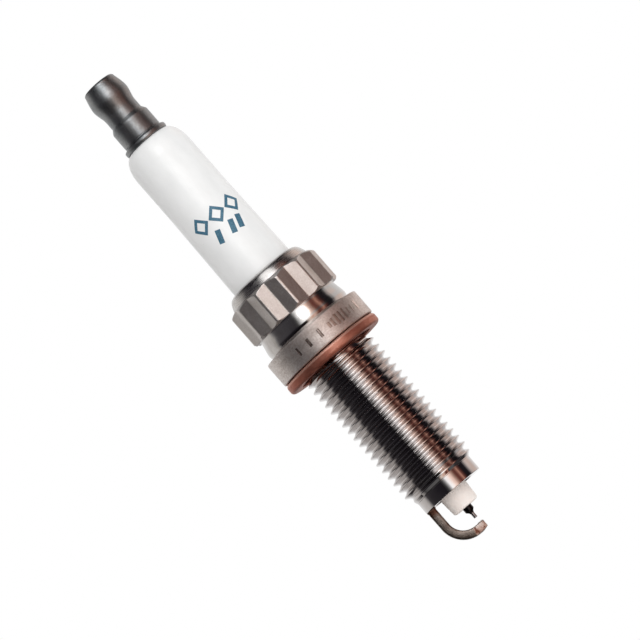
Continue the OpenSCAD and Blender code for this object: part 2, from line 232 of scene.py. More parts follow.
def surround_light(azimuth, elevation):
    """Light of the surround in a direction: its stops round the horizon, and what changes above and below."""
    low = elevation < 0
    lean = level_at(LEAN, elevation) * level_at(LEAN_REACH, azimuth)
    level = [level_at((SURROUND_ANGLES, channel), azimuth - lean) for channel in SURROUND_CHANNELS]
    if azimuth > 0:
        level = blend(level, [sum(level) / 3] * 3, level_at(PALE, elevation))
    in_patch = elevation > PATCH_ELEVATION
    start, end = WHITE_PATCH if in_patch else WHITE_BAND
    in_white = start < azimuth < end
    if in_patch and in_white:
        level = [PATCH_LIGHT] * 3
    if DARK_SIDE[0] < azimuth < DARK_SIDE[1]:
        level = [value * level_at(DARK_SHARE, elevation) for value in level]
    if LIFTED_SIDE[0] < azimuth < LIFTED_SIDE[1]:
        level = [value + level_at(DARK_LIFT, elevation) for value in level]
    if in_white:
        tint = level_at(TABLE_SHARE, elevation)
        level = [value * (1 + (shade - 1) * tint) for value, shade in zip(level, TABLE_TINT)]
    shade = level_at(SHADE_BELOW, azimuth)
    cap = OVERHEAD if elevation > 0 else [value * shade for value in BELOW]
    cap = [value + level_at(HAZE, elevation) * (1 - shade) for value in cap]
    cap = blend(cap, REAR_TABLE,
                level_at(REAR_TABLE_ACROSS, 180 - abs(azimuth)) * level_at(REAR_TABLE_UP, elevation))
    fade = FADE_LOW_REAR if abs(azimuth) > REAR and low else FADE
    if in_white and elevation > 0:
        fade = FADE_HIGH_WHITE
    if LIT_TABLE[0] < azimuth < LIT_TABLE[1] and low:
        fade = FADE_LOW_TABLE
    away = math.hypot((azimuth - KEY_AZIMUTH) * math.cos(math.radians(elevation)), elevation - KEY_ELEVATION)
    key = level_at(KEY_LIGHT, away)
    return [value + key for value in blend(level, cap, level_at((fade, (0, 1)), abs(elevation)))]


def stage_piece(name, points, faces, look, camera=True, diffuse=True, glossy=True, shadow=True):
    """Piece of the studio from points in millimetres, which some kinds of ray may pass by."""
    mesh = bpy.data.meshes.new(name)
    mesh.from_pydata([[value * MM for value in point] for point in points], [], faces)
    mesh.materials.append(look)
    piece = bpy.data.objects.new(name, mesh)
    piece.visible_camera = camera
    piece.visible_diffuse = diffuse
    piece.visible_glossy = glossy
    piece.visible_shadow = shadow
    bpy.context.scene.collection.objects.link(piece)
    return piece


def glowing(name, level=0):
    """Material that only gives light, and its emission node."""
    look = bpy.data.materials.new(name)
    look.use_nodes = True
    look.node_tree.nodes.clear()
    light = new_node(look, "Emission", {"Color": (level, level, level)})
    new_node(look, "OutputMaterial", {"Surface": light.outputs["Emission"]})
    return look, light


def add_surround():
    """Soft studio surround that only shows in reflections. Its rows are closest near the horizon."""
    radius, across = 600, 144
    elevations = [*range(-90, -8, 2), *[e / 2 for e in range(-16, 24)], *range(12, 91, 2)]
    points, colours = [], []
    for elevation in elevations:
        for i in range(across):
            azimuth = -180 + 360 * i / across
            turn, rise = math.radians(azimuth - 90), math.radians(elevation)
            flat = radius * math.cos(rise)
            points.append((flat * math.cos(turn), flat * math.sin(turn), radius * math.sin(rise)))
            colours += [*surround_light(azimuth, elevation), 1]
    look, light = glowing("surround_glow")
    fill(look, light.inputs["Color"], new_node(look, "Attribute", {}, attribute_name="glow").outputs["Color"])
    surround = stage_piece("surround", points, quads(len(elevations), across), look,
                           camera=False, diffuse=False, shadow=False)
    glow = surround.data.color_attributes.new("glow", "FLOAT_COLOR", "POINT")
    glow.data.foreach_set("color", colours)


def add_shade(name, start, end, level):
    """Upright grey card beside the plug, between two azimuths, that only shades matt surfaces."""
    radius, low, high, steps = 500, -400, 500, 12
    points = []
    for i in range(steps + 1):
        turn = math.radians(-90 + start + (end - start) * i / steps)
        x, y = radius * math.cos(turn), radius * math.sin(turn)
        points += [(x, y, low), (x, y, high)]
    faces = [(2 * i, 2 * i + 1, 2 * i + 3, 2 * i + 2) for i in range(steps)]
    card = stage_piece(name, points, faces, glowing(name, level)[0], camera=False, glossy=False, shadow=False)


def add_key_light():
    """Square soft light that points at the plug's middle."""
    place = Vector((160, -560, 120))
    data = bpy.data.lights.new("key_light", "AREA")
    data.size = 260 * MM
    data.energy = 0.5
    light = bpy.data.objects.new("key_light", data)
    light.location = place * MM
    light.rotation_euler = (TARGET - place).to_track_quat("-Z", "Y").to_euler()
    light.visible_glossy = False
    bpy.context.scene.collection.objects.link(light)


def add_floor():
    """Plain pale floor, well below the plug, which leans on nothing in the photograph."""
    size, height = 4000, -300
    corners = [(-size, -size, height), (size, -size, height), (size, size, height), (-size, size, height)]
    look = new_look("pale_floor", (0.93, 0.93, 0.93), 0, 0.9, Specular_IOR_Level=0.1)
    floor = stage_piece("floor", corners, [(0, 1, 2, 3)], look, glossy=False)


def add_studio():
    """White room, the surround that the metal reflects, grey shade cards, one soft light and the floor."""
    world = bpy.data.worlds.new("white_room")
    world.use_nodes = True
    background = world.node_tree.nodes["Background"]
    background.inputs["Color"].default_value = (1, 1, 1, 1)
    background.inputs["Strength"].default_value = 1
    bpy.context.scene.world = world
    bpy.context.scene.view_settings.view_transform = "Standard"
    add_surround()
    add_shade("left_shade", -118, -59, 0)
    add_shade("right_shade", 62, 112, 0.6)
    add_key_light()
    add_floor()


# ---- node helpers for the materials

def new_look(name, colour, metallic, roughness, **sockets):
    """Material with one Principled shader. Values that are the same all over are set on its sockets."""
    look = bpy.data.materials.new(name)
    look.use_nodes = True
    shader = look.node_tree.nodes["Principled BSDF"]
    shader.inputs["Base Color"].default_value = (*colour, 1)
    shader.inputs["Metallic"].default_value = metallic
    shader.inputs["Roughness"].default_value = roughness
    for socket, value in sockets.items():
        shader.inputs[socket.replace("_", " ")].default_value = value
    return look


def fill(look, socket, value):
    """Links an input to a socket, or gives it a number or an (r, g, b) triple."""
    if isinstance(value, bpy.types.NodeSocket):
        look.node_tree.links.new(value, socket)
    else:
        socket.default_value = (*value, 1) if socket.type == "RGBA" else value


def new_node(look, kind, inputs, **settings):
    """Node with its settings and inputs."""
    node = look.node_tree.nodes.new("ShaderNode" + kind)
    for setting, value in settings.items():
        setattr(node, setting, value)
    for key, value in inputs.items():
        fill(look, node.inputs[key], value)
    return node


def place_of(look, stretch):
    """The piece's own coordinates in millimetres, multiplied along each axis."""
    where = new_node(look, "TexCoord", {}).outputs["Object"]
    scale = tuple(s / MM for s in stretch)
    return new_node(look, "VectorMath", {0: where, 1: scale}, operation="MULTIPLY").outputs["Vector"]


def noise(look, stretch, detail=3, rough=0.55):
    """Noise whose grains are 1 / stretch millimetres across."""
    inputs = {"Scale": 1, "Detail": detail, "Roughness": rough, "Vector": place_of(look, stretch)}
    return new_node(look, "TexNoise", inputs).outputs["Fac"]


def ramp(look, value, stops):
    """Colour ramp through (position, colour) stops."""
    node = new_node(look, "ValToRGB", {"Fac": value})
    elements = node.color_ramp.elements
    while len(elements) < len(stops):
        elements.new(0.5)
    for element, (position, colour) in zip(elements, stops):
        element.position = position
        element.color = (*colour, 1)
    return node.outputs["Color"]


def remap(look, value, low, high, from_low=0.3, from_high=0.7):
    """Value taken from one range to another."""
    inputs = {"From Min": from_low, "From Max": from_high, "To Min": low, "To Max": high, "Value": value}
    return new_node(look, "MapRange", inputs).outputs["Result"]


def mix(look, factor, a, b):
    """Colour b over colour a by a factor."""
    return new_node(look, "Mix", {0: factor, 6: a, 7: b}, data_type="RGBA").outputs[2]


def combine(look, operation, a, b):
    """Maths on two sockets or numbers."""
    return new_node(look, "Math", {0: a, 1: b}, operation=operation).outputs[0]


def band(look, low, high, soft, axis="Z"):
    """1 between two places along an axis of the plug, and 0 outside them."""
    place = new_node(look, "SeparateXYZ", {0: place_of(look, (1, 1, 1))}).outputs[axis]
    rise = remap(look, place, 0, 1, low - soft, low + soft)
    fall = remap(look, place, 1, 0, high - soft, high + soft)
    return combine(look, "MULTIPLY", rise, fall)


def dressed(look, base=None, roughness=None, height=None, depth=0.02, strength=0.6):
    """The material with its colour and roughness, and its relief from a height between 0 and 1, with the
    depth in millimetres."""
    shader = look.node_tree.nodes["Principled BSDF"].inputs
    if base is not None:
        fill(look, shader["Base Color"], base)
    if roughness is not None:
        fill(look, shader["Roughness"], roughness)
    if height is not None:
        inputs = {"Strength": strength, "Distance": depth * MM, "Height": height}
        fill(look, shader["Normal"], new_node(look, "Bump", inputs).outputs["Normal"])
    return look


# ---- materials

def nickel_bright():
    """Turned and crimped nickel plating: nearly a mirror, with faint turning lines and small stains."""
    look = new_look("nickel_bright", (0.62, 0.6, 0.585), 1, 0.09)
    base = ramp(look, noise(look, (0.5, 0.5, 0.35), 4), [
        (0.3, (0.53, 0.505, 0.49)), (0.5, (0.62, 0.6, 0.585)), (0.75, (0.66, 0.64, 0.625))])
    lines = remap(look, noise(look, (0.3, 0.3, 9), 2), 0.05, 0.15)
    scratches = remap(look, noise(look, (0.7, 0.7, 14)), 0.1, 0.22)
    rim = combine(look, "MULTIPLY", band(look, HEX_TOP, HEX_TOP + 4, 0.1), scratches)
    return dressed(look, base, combine(look, "ADD", lines, rim), noise(look, (1.2, 1.2, 1.6)), 0.012, 0.5)


def nickel_rolled():
    """Plating on the rolled thread and the pilot: smooth, dark in its reflections, with soft stains."""
    look = new_look("nickel_rolled", (0.63, 0.605, 0.6), 1, 0.05)
    stains = noise(look, (0.6, 0.6, 0.6), 4)
    base = ramp(look, stains, [
        (0.3, (0.56, 0.535, 0.53)), (0.5, (0.63, 0.605, 0.6)), (0.75, (0.69, 0.67, 0.67))])
    return dressed(look, base, remap(look, stains, 0.03, 0.07), noise(look, (1.5, 1.5, 1.5)), 0.004, 0.3)


def nickel_satin():
    """Turned side of the flange: dull plating with a coarse brown grain and soft stains."""
    look = new_look("nickel_satin", (0.78, 0.73, 0.7), 1, 0.48)
    grain = noise(look, (3.2, 3.2, 4.5), 4, 0.65)
    base = ramp(look, noise(look, (0.22, 0.22, 0.5), 4), [
        (0.34, (0.7, 0.66, 0.635)), (0.5, (0.92, 0.87, 0.84)), (0.64, (1, 0.96, 0.935))])
    base = mix(look, remap(look, grain, 0, 0.55), base, (0.42, 0.33, 0.29))
    return dressed(look, base, remap(look, grain, 0.44, 0.58), grain)


def stamped_recess():
    """Floor and sides of the stamped strokes: painted shade in the recesses, mottled, and paler towards +X.
    """
    look = new_look("stamped_recess", (0.34, 0.28, 0.25), 1, 0.4)
    recess_mottle = noise(look, (4, 4, 4))
    # Painted shade: the recess floors and walls are darkened, in mottled tones
    dark = ramp(look, recess_mottle, [(0.35, (0.16, 0.125, 0.11)), (0.65, (0.46, 0.385, 0.35))])
    # The painted shade is paler towards +X
    paler_towards_x = combine(look, "MULTIPLY", band(look, 1.6, 2 * FLANGE_R, 0.5, "X"), 0.6)
    return dressed(look, mix(look, paler_towards_x, dark, (0.8, 0.68, 0.62)), None, recess_mottle)


def nickel_hex():
    """Cold-formed faces of the hexagon: satin plating with a fine grain and scuffs along the axis."""
    look = new_look("nickel_hex", (0.76, 0.72, 0.7), 1, 0.46)
    scuffs = noise(look, (9, 9, 0.6))
    base = ramp(look, noise(look, (0.8, 0.8, 0.5)), [
        (0.3, (0.72, 0.685, 0.66)), (0.55, (0.8, 0.77, 0.75)), (0.75, (0.87, 0.845, 0.83))])
    base = mix(look, remap(look, noise(look, (4, 4, 4), 4, 0.65), 0, 0.35), base, (0.4, 0.34, 0.31))
    height = combine(look, "ADD", scuffs, noise(look, (3, 3, 3)))
    return dressed(look, base, remap(look, scuffs, 0.4, 0.52), height, 0.01, 0.5)


def copper_sheet():
    """Satin copper of the gasket: browner in blotches, darker on its side as painted shade, and paler along
    its upper edge as a painted highlight.
    """
    look = new_look("copper_sheet", (0.5, 0.2, 0.14), 0.9, 0.4)
    grain = noise(look, (3, 3, 4), 4, 0.65)
    # The side's colours are darkened as painted shade, which dims its highlight
    side = ramp(look, noise(look, (0.35, 0.35, 0.9), 4), [
        (0.32, (0.34, 0.11, 0.075)), (0.48, (0.48, 0.18, 0.125)), (0.68, (0.66, 0.32, 0.24))])
    # Painted highlight: the band along the upper edge is paler
    base = mix(look, band(look, GASKET_H - 0.42, GASKET_H + 1, 0.12), side, (0.84, 0.52, 0.42))
    base = mix(look, remap(look, grain, 0, 0.45), base, (0.4, 0.13, 0.09))
    return dressed(look, base, remap(look, grain, 0.42, 0.55), grain)


def glazed_alumina():
    """White ceramic under a clear glaze that has a faint orange-peel waviness and tiny specks."""
    look = new_look("glazed_alumina", (0.89, 0.89, 0.885), 0, 0.34, Specular_IOR_Level=0.25,
                    Coat_Weight=0.6, Coat_Roughness=0.12)
    speck = remap(look, noise(look, (5, 5, 5), 2), 0, 1, 0.74, 0.8)
    base = ramp(look, noise(look, (0.35, 0.35, 0.2)), [
        (0.3, (0.86, 0.86, 0.855)), (0.7, (0.92, 0.92, 0.915))])
    base = mix(look, speck, base, (0.62, 0.6, 0.56))
    return dressed(look, base, None, noise(look, (0.9, 0.9, 0.6), 2), 0.01, 0.35)


def bare_alumina():
    """Unglazed ceramic of the nose: matte and slightly pink, with a fine darker grain, and raised close to
    white as painted light that lifts the shaded nose.
    """
    look = new_look("bare_alumina", (0.92, 0.84, 0.8), 0, 0.62)
    grain = noise(look, (7, 7, 7), 4)
    # Painted light: these colours are raised close to white to lift the nose out of its shade
    base = ramp(look, noise(look, (0.8, 0.8, 0.8)), [(0.3, (0.98, 0.86, 0.79)), (0.7, (1, 0.93, 0.88))])
    base = mix(look, remap(look, grain, 0, 0.2), base, (0.9, 0.77, 0.7))
    return dressed(look, base, None, grain, 0.004, 0.3)


def gunmetal():
    """Dark zinc-nickel finish of the terminal: soft highlights and a fine grain in blotches."""
    look = new_look("gunmetal", (0.34, 0.365, 0.38), 1, 0.38)
    grain = noise(look, (3, 3, 4), 4, 0.65)
    base = ramp(look, noise(look, (0.5, 0.5, 0.4), 4), [
        (0.3, (0.28, 0.305, 0.32)), (0.5, (0.35, 0.375, 0.39)), (0.72, (0.42, 0.435, 0.44))])
    base = mix(look, remap(look, grain, 0, 0.45), base, (0.22, 0.21, 0.21))
    return dressed(look, base, remap(look, grain, 0.32, 0.45), grain)


def nickel_alloy():
    """Drawn strip of the ground electrode: grey-brown, browner near the weld, with drawing lines along it."""
    look = new_look("nickel_alloy", (0.24, 0.205, 0.18), 1, 0.36)
    lines = noise(look, (9, 9, 0.7))
    strip = ramp(look, noise(look, (0.9, 0.9, 0.6)), [
        (0.3, (0.16, 0.125, 0.11)), (0.5, (0.24, 0.205, 0.18)), (0.72, (0.34, 0.295, 0.265))])
    base = mix(look, band(look, SHELL_END - 1, SHELL_END + 1, 0.35), strip, (0.13, 0.065, 0.045))
    return dressed(look, base, remap(look, lines, 0.28, 0.46), lines, 0.01, 0.7)


def trimmed_end():
    """Trimmed end of the ground electrode: brighter metal with a brown heat stain."""
    look = new_look("trimmed_end", (0.62, 0.56, 0.53), 1, 0.36)
    base = ramp(look, noise(look, (1.1, 1.1, 1.1)), [
        (0.4, (0.2, 0.1, 0.075)), (0.47, (0.5, 0.4, 0.36)), (0.56, (0.66, 0.61, 0.58))])
    return dressed(look, base, None, noise(look, (6, 6, 2)), 0.015)


def heat_tinted_weld():
    """Oxidised weld metal: dark brown and blue-grey patches on a lumpy skin."""
    look = new_look("heat_tinted_weld", (0.14, 0.09, 0.07), 1, 0.5)
    base = ramp(look, noise(look, (2.2, 2.2, 2.2), 4), [
        (0.3, (0.05, 0.04, 0.045)), (0.48, (0.16, 0.09, 0.065)), (0.7, (0.34, 0.26, 0.22))])
    return dressed(look, base, None, noise(look, (5, 5, 5), 4), 0.03, 0.8)


def platinum():
    """Small bright pad with fine grinding lines."""
    look = new_look("platinum", (0.66, 0.64, 0.61), 1, 0.22)
    lines = noise(look, (20, 1, 1), 2)
    return dressed(look, None, remap(look, lines, 0.16, 0.34), lines, 0.003)


def printed_ink():
    """Blue enamel ink of the printed mark, thinner in spots."""
    look = new_look("printed_ink", (0.05, 0.155, 0.24), 0, 0.45, Coat_Weight=0.3, Coat_Roughness=0.2)
    return dressed(look, ramp(look, noise(look, (4, 4, 4), 4), [
        (0.32, (0.035, 0.12, 0.19)), (0.55, (0.05, 0.165, 0.25)), (0.75, (0.12, 0.24, 0.32))]))


def powdery(name, dark, light, grain, depth):
    """Pressed or fused powder inside the plug: glass seals, resistor and talc."""
    look = new_look(name, light, 0, 0.8)
    grains = noise(look, (grain, grain, grain), 5, 0.7)
    return dressed(look, ramp(look, grains, [(0.35, dark), (0.65, light)]), None, grains, depth, 0.8)


def lined_metal(name, colour, roughness, stretch, detail, dark, light, depth):
    """Metal whose fine lines show in its colour and its relief."""
    look = new_look(name, colour, 1, roughness)
    lines = noise(look, stretch, detail)
    return dressed(look, ramp(look, lines, [(0.3, dark), (0.7, light)]), None, lines, depth)


def nickel_bore():
    """Inside of the shell, where the plating is thin and dull."""
    return lined_metal("nickel_bore", (0.3, 0.28, 0.26), 0.45, (0.4, 0.4, 6), 3,
                       (0.2, 0.18, 0.165), (0.36, 0.33, 0.31), 0.01)


def electrode_alloy():
    """Nickel alloy of the centre electrode's end, coloured near-black as a painted dark reflection."""
    # Near-black metal: a painted dark reflection
    return lined_metal("electrode_alloy", (0.03, 0.028, 0.029), 0.28, (1, 1, 30), 2,
                       (0.018, 0.017, 0.019), (0.045, 0.042, 0.042), 0.004)


def iridium():
    """Fine iridium wire: grey, hard and smooth, with a few drawing lines."""
    return lined_metal("iridium", (0.42, 0.42, 0.43), 0.2, (25, 25, 1), 2,
                       (0.3, 0.3, 0.31), (0.54, 0.53, 0.54), 0.003)


def drawn_metal(name, dark, light, roughness):
    """Drawn or stamped metal inside the plug: the core, the wire rings and the seat washer."""
    return lined_metal(name, light, roughness, (0.6, 0.6, 9), 3, dark, light, 0.006)


# ---- mesh helpers

def rounded(corners, steps):
    """Outline through (radius, height, fillet) corners, each rounded by its fillet in a few steps. A point
    beside each fillet keeps the straight stretches flat under smooth shading."""
    points = [Vector(c[:2]) for c in corners]
    outline = [points[0]]
    for i in range(1, len(corners) - 1):
        here, fillet = points[i], corners[i][2]
        back, ahead = points[i - 1] - here, points[i + 1] - here
        half = back.angle(ahead) / 2
        if fillet <= 0 or half > math.radians(89):
            outline.append(here)
            continue
        reach = min(fillet / math.tan(half), 0.46 * back.length, 0.46 * ahead.length)
        radius = reach * math.tan(half)
        back.normalize()
        ahead.normalize()
        centre = here + (back + ahead).normalized() * radius / math.sin(half)
        first = here + back * reach - centre
        sweep = math.pi - 2 * half
        side = 1 if first.cross(here - centre) > 0 else -1
        outline.append(here + back * (reach + 0.15 * radius))
        for k in range(steps + 1):
            turn = side * sweep * k / steps
            c, s = math.cos(turn), math.sin(turn)
            outline.append(centre + Vector((first.x * c - first.y * s, first.x * s + first.y * c)))
        outline.append(here + ahead * (reach + 0.15 * radius))
    outline.append(points[-1])
    return [(p.x, p.y) for p in outline]


def curve_through(points, steps):
    """Smooth Catmull-Rom curve through a few (radius, height) points."""
    ends = [points[0], *points, points[-1]]
    curve = []
    for a, b, c, d in zip(ends, ends[1:], ends[2:], ends[3:]):
        for k in range(steps):
            t = k / steps
            curve.append(tuple(
                0.5 * (2 * q + (r - p) * t + (2 * p - 5 * q + 4 * r - s) * t * t
                       + (3 * q - p - 3 * r + s) * t ** 3)
                for p, q, r, s in zip(a, b, c, d)))
    return [*curve, tuple(points[-1])]


def quads(rings, count, closed=False, reverse=False):
    """Faces between neighbouring rings of count points each."""
    faces = []
    for i in range(rings if closed else rings - 1):
        a, b = i * count, (i + 1) % rings * count
        for k in range(count):
            n = (k + 1) % count
            faces.append((a + k, b + k, b + n, a + n) if reverse else (a + k, a + n, b + n, b + k))
    return faces


def end_caps(total, ring):
    """Caps on the first and last ring of reversed quads."""
    return [tuple(range(ring)), tuple(range(total - 1, total - ring - 1, -1))]


def add_piece(name, points, faces, looks, body, replaced=(), face_looks=None):
    """Smooth-shaded mesh from points in millimetres, riding on a body."""
    mesh = bpy.data.meshes.new(name)
    mesh.from_pydata((np.asarray(points, float) * MM).tolist(), [], faces)
    for look in looks:
        mesh.materials.append(look)
    mesh.polygons.foreach_set("use_smooth", [True] * len(mesh.polygons))
    if face_looks is not None:
        mesh.polygons.foreach_set("material_index", face_looks)
    mesh.validate()
    mesh.update()
    mesh.set_sharp_from_angle(angle=math.radians(CREASE))
    piece = bpy.data.objects.new(name, mesh)
    bpy.context.scene.collection.objects.link(piece)
    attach(piece, body)
    if replaced:
        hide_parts(*replaced)
    return piece


def turned(name, rings, count, looks, body, replaced, look_of=None, closed=False):
    """Solid of revolution through (radius, height) rings of count points, which start at the back. Rings that
    don't close on themselves end near the axis, where they are capped. look_of gives a face's material from
    its height."""
    angles = np.radians([90 + 360 * i / count for i in range(count)])
    points = np.concatenate([
        np.stack([r * np.cos(angles), r * np.sin(angles), np.full(count, z)], 1) for r, z in rings])
    faces = quads(len(rings), count, closed)
    if not closed:
        last = (len(rings) - 1) * count
        faces += [tuple(range(count))[::-1], tuple(range(last, last + count))]
    face_looks = None
    if look_of:
        ends = rings[1:] + rings[:1]
        face_looks = [look_of((z0 + z1) / 2) for (_, z0), (_, z1) in zip(rings, ends) for _ in range(count)]
    return add_piece(name, points, faces, looks, body, replaced, face_looks)


# ---- shell

# Strokes stamped in the flange: (angle in degrees, height)
STROKES = [
    (-114.6, 1.2), (-100.4, 1.3), (-85.9, 1.35), (-73.5, 0.8), (-68.5, 1.2), (-63, 1.6),
    (-58, 1.6), (-52.5, 1.7), (-46, 1.0), (-39.5, 1.3), (-31, 1.5)]
STROKE_HALF = math.degrees(0.13 / FLANGE_R)
STROKE_SLOPE = 0.7
STROKE_DEPTH = 0.14
# Half the width of the hexagon's trimmed corners, in degrees
LAND = 30 - math.degrees(math.acos(HEX_AF / 2 / HEX_CORNER_R))
# How fully the thread is formed, by its crest's height above the pilot
ROLLED_SHARE = ([-0.45, -0.38, 0.35, 0.65, 0.95, 1.2], [0, 0.06, 0.3, 0.5, 0.88, 1])
# Places of the shell's materials in its list
BRIGHT, SATIN, HEXED, BORE, ROLLED, RECESS = range(6)


def shell_columns():
    """Angles of the shell's columns: close together at the hexagon's corners and at the strokes' edges."""
    half = [LAND - 0.25, LAND + 0.25, LAND + 0.75, 4.4, 7.6, 10.8, 13.6, 14.6]
    angles = [HEX_TURN + 30 * k + side * h for k in range(12) for h in half for side in (-1, 1)]
    for centre, _ in STROKES:
        for edge in (STROKE_HALF, STROKE_HALF + STROKE_SLOPE):
            angles += [centre - edge, centre + edge]
    angles = sorted((a - 90) % 360 + 90 for a in angles)
    kept = [angles[0]]
    for a in angles[1:]:
        if a - kept[-1] > 0.04:
            kept.append(a)
    return kept


def hex_radius(angle):
    """Radius of the twelve-point outline at an angle."""
    from_corner = abs((angle - HEX_TURN + 15) % 30 - 15)
    return min(HEX_CORNER_R, HEX_AF / 2 / math.cos(math.radians(30 - from_corner)))


def thread_outline():
    """One pitch of the thread, root to root, as (height, radius), with the crest at half a pitch."""
    root_half, crest_half = 0.104, PITCH / 16
    return rounded([
        (0, ROOT_R, 0), (root_half, ROOT_R, 0.09), (PITCH / 2 - crest_half, CREST_R, 0.045),
        (PITCH / 2 + crest_half, CREST_R, 0.045), (PITCH - root_half, ROOT_R, 0.09), (PITCH, ROOT_R, 0)], 2)


def blank_radius(z):
    """Radius of the turned blank that the thread is rolled on, where it narrows to the neck."""
    return level_at(([THREAD_TOP - 0.4, THREAD_TOP], [CREST_R, NECK_R]), z)


def thread_points(columns):
    """Helical thread, which grows out of the pilot in about a turn and a third: for each column of each
    turn the points of one pitch upwards, and then the edge that meets the neck. Also the points per pitch."""
    outline = thread_outline()[:-1]
    count = len(columns)

    def place(i, turn, height, radius, share):
        angle = math.radians(columns[i % count])
        z = HELIX_BOTTOM + PITCH * (turn + (columns[i % count] - columns[0]) / 360) + height
        r = PILOT_R + (min(radius, blank_radius(z)) - PILOT_R) * share
        return r * math.cos(angle), r * math.sin(angle), z

    points = []
    for i in range(HELIX_TURNS * count + 1):
        middle = place(i, i // count, PITCH / 2, CREST_R, 1)[2]
        share = level_at(ROLLED_SHARE, middle - THREAD_BOTTOM)
        points += [place(i, i // count, height, radius, share) for height, radius in outline]
    for i in range((HELIX_TURNS - 1) * count, HELIX_TURNS * count + 1):
        points.append(place(i, i // count + 1, 0, ROOT_R, 1))
    return points, len(outline)


def level_rows(outline, columns):
    """Rings of the same radius and height all round, through the outline's points."""
    return [[(r, z)] * len(columns) for r, z in outline]


def lower_rows(columns):
    """Rings from the bore's edge round the shell's end to the pilot."""
    return level_rows(rounded([
        (NOSE_BORE_R, SHELL_END + 0.6, 0), (NOSE_BORE_R, SHELL_END, 0.08), (PILOT_R, SHELL_END, 0.13),
        (PILOT_R, SHELL_END + 0.2, 0)], 3), columns)


def flange_rows(columns):
    """Rings of the neck, the flange with its stamped strokes, and the groove above it."""
    rows = level_rows(rounded([
        (NECK_R, 1.15, 0), (NECK_R, FLANGE_BOTTOM, 0.25), (FLANGE_R, FLANGE_BOTTOM, 0.2),
        (FLANGE_R, FLANGE_BOTTOM + 0.7, 0)], 4), columns)
    middle = (FLANGE_BOTTOM + FLANGE_TOP) / 2
    halves = [height / 2 + slope for _, height in STROKES for slope in (0, 0.05)]
    levels = sorted({side * half for half in halves for side in (-1, 1)})
    for level in levels:
        row = []
        for angle in columns:
            depth = 0
            for centre, height in STROKES:
                away = abs((angle - centre + 180) % 360 - 180)
                inside = away < STROKE_HALF + 0.02 and abs(level) < height / 2 + 0.01
                depth = STROKE_DEPTH if inside else depth
            row.append((FLANGE_R - depth, middle + level))
        rows.append(row)
    groove = curve_through([(r, FLANGE_TOP + up) for r, up in (
        (7.07, 0.06), (7.12, 0.3), (7.21, 0.7), (7.22, 0.95), (7.14, 1.55), (7.0, 2.2), (6.9, 2.8))
    ] + [(6.89, HEX_BOTTOM - 0.08)], 3)
    edge = rounded([
        (FLANGE_R, FLANGE_TOP - 0.7, 0), (FLANGE_R, FLANGE_TOP, 0.2), (7.07, FLANGE_TOP, 0.06), groove[0]], 4)
    return rows + level_rows(edge + groove[1:], columns)


def top_chamfer(r):
    """Height of the hexagon's rounded top at a radius."""
    return HEX_TOP + level_at(([RIM_R, 7.14, 7.5, 7.75, HEX_CORNER_R], [0, -0.1, -0.3, -0.45, -0.66]), r)


def hexagon_rows(columns):
    """Rings of the twelve-point hexagon: underside, faces, and the rounded chamfer on top."""
    chamfer = 0.3
    under_r = HEX_CORNER_R - chamfer
    radii = [hex_radius(a) for a in columns]
    corner = [HEX_BOTTOM + 0.05 + 0.25 * max(0, r - under_r) / chamfer for r in radii]
    rows = level_rows([(6.97, HEX_BOTTOM)], columns)
    rows += [[(min(r, under_r) - back, HEX_BOTTOM + up) for r in radii]
             for back, up in ((0.05, 0), (0, 0.03))]
    rows += [[(r, z + up) for r, z in zip(radii, corner)] for up in (0, 0.1)]
    rows.append([(r, (HEX_BOTTOM + HEX_TOP) / 2) for r in radii])
    rows += [[(r, top_chamfer(r) - down) for r in radii] for down in (0.14, 0.04)]
    for share in (0.06, 0.2, 0.4, 0.6, 0.8, 0.94):
        inner = [r + (RIM_R - r) * share for r in radii]
        rows.append([(r, top_chamfer(r)) for r in inner])
    return rows


def rim_rows(columns):
    """Rings of the crimped rim, rolled in over the insulator, down to its hidden inner edge."""
    hidden_r = insulator_head_radius(RIM_TOP) + 0.03
    height = RIM_TOP - HEX_TOP
    outline = curve_through([(r, HEX_TOP + height * share) for r, share in (
        (6.87, 0.01), (6.77, 0.19), (6.65, 0.37), (6.54, 0.52), (6.41, 0.66), (6.24, 0.79), (6.0, 0.9),
        (5.7, 0.975), (5.4, 0.998))], 3)
    outline += [(hidden_r + 0.05, RIM_TOP - 0.04), (hidden_r, RIM_TOP - 0.14), (hidden_r, RIM_TOP - 1.05)]
    return level_rows(outline, columns)


def bore_rows(columns):
    """Rings of the shell's bore, from the head down past the ledge to the gas pocket."""
    head_r = talc_r + 0.02
    return level_rows([
        (head_r - 0.2, HEX_TOP + 0.25), (head_r, HEX_TOP - 0.2),
        (head_r, FLANGE_BOTTOM + 1 + head_r - BODY_BORE_R), (BODY_BORE_R, FLANGE_BOTTOM + 1),
        (BODY_BORE_R, LEDGE_Z + BODY_BORE_R - LEDGE_R), (LEDGE_R, LEDGE_Z), (LEDGE_R, LEDGE_Z - 0.6),
        (NOSE_BORE_R, LEDGE_Z - 1.05)], columns)


def insulator_head_radius(z):
    """Radius of the insulator's head, which narrows a little from the rim to the boot's seat."""
    return level_at(([RIM_TOP + 1, BOOT_BOTTOM], [HEAD_R, BOOT_R]), z)


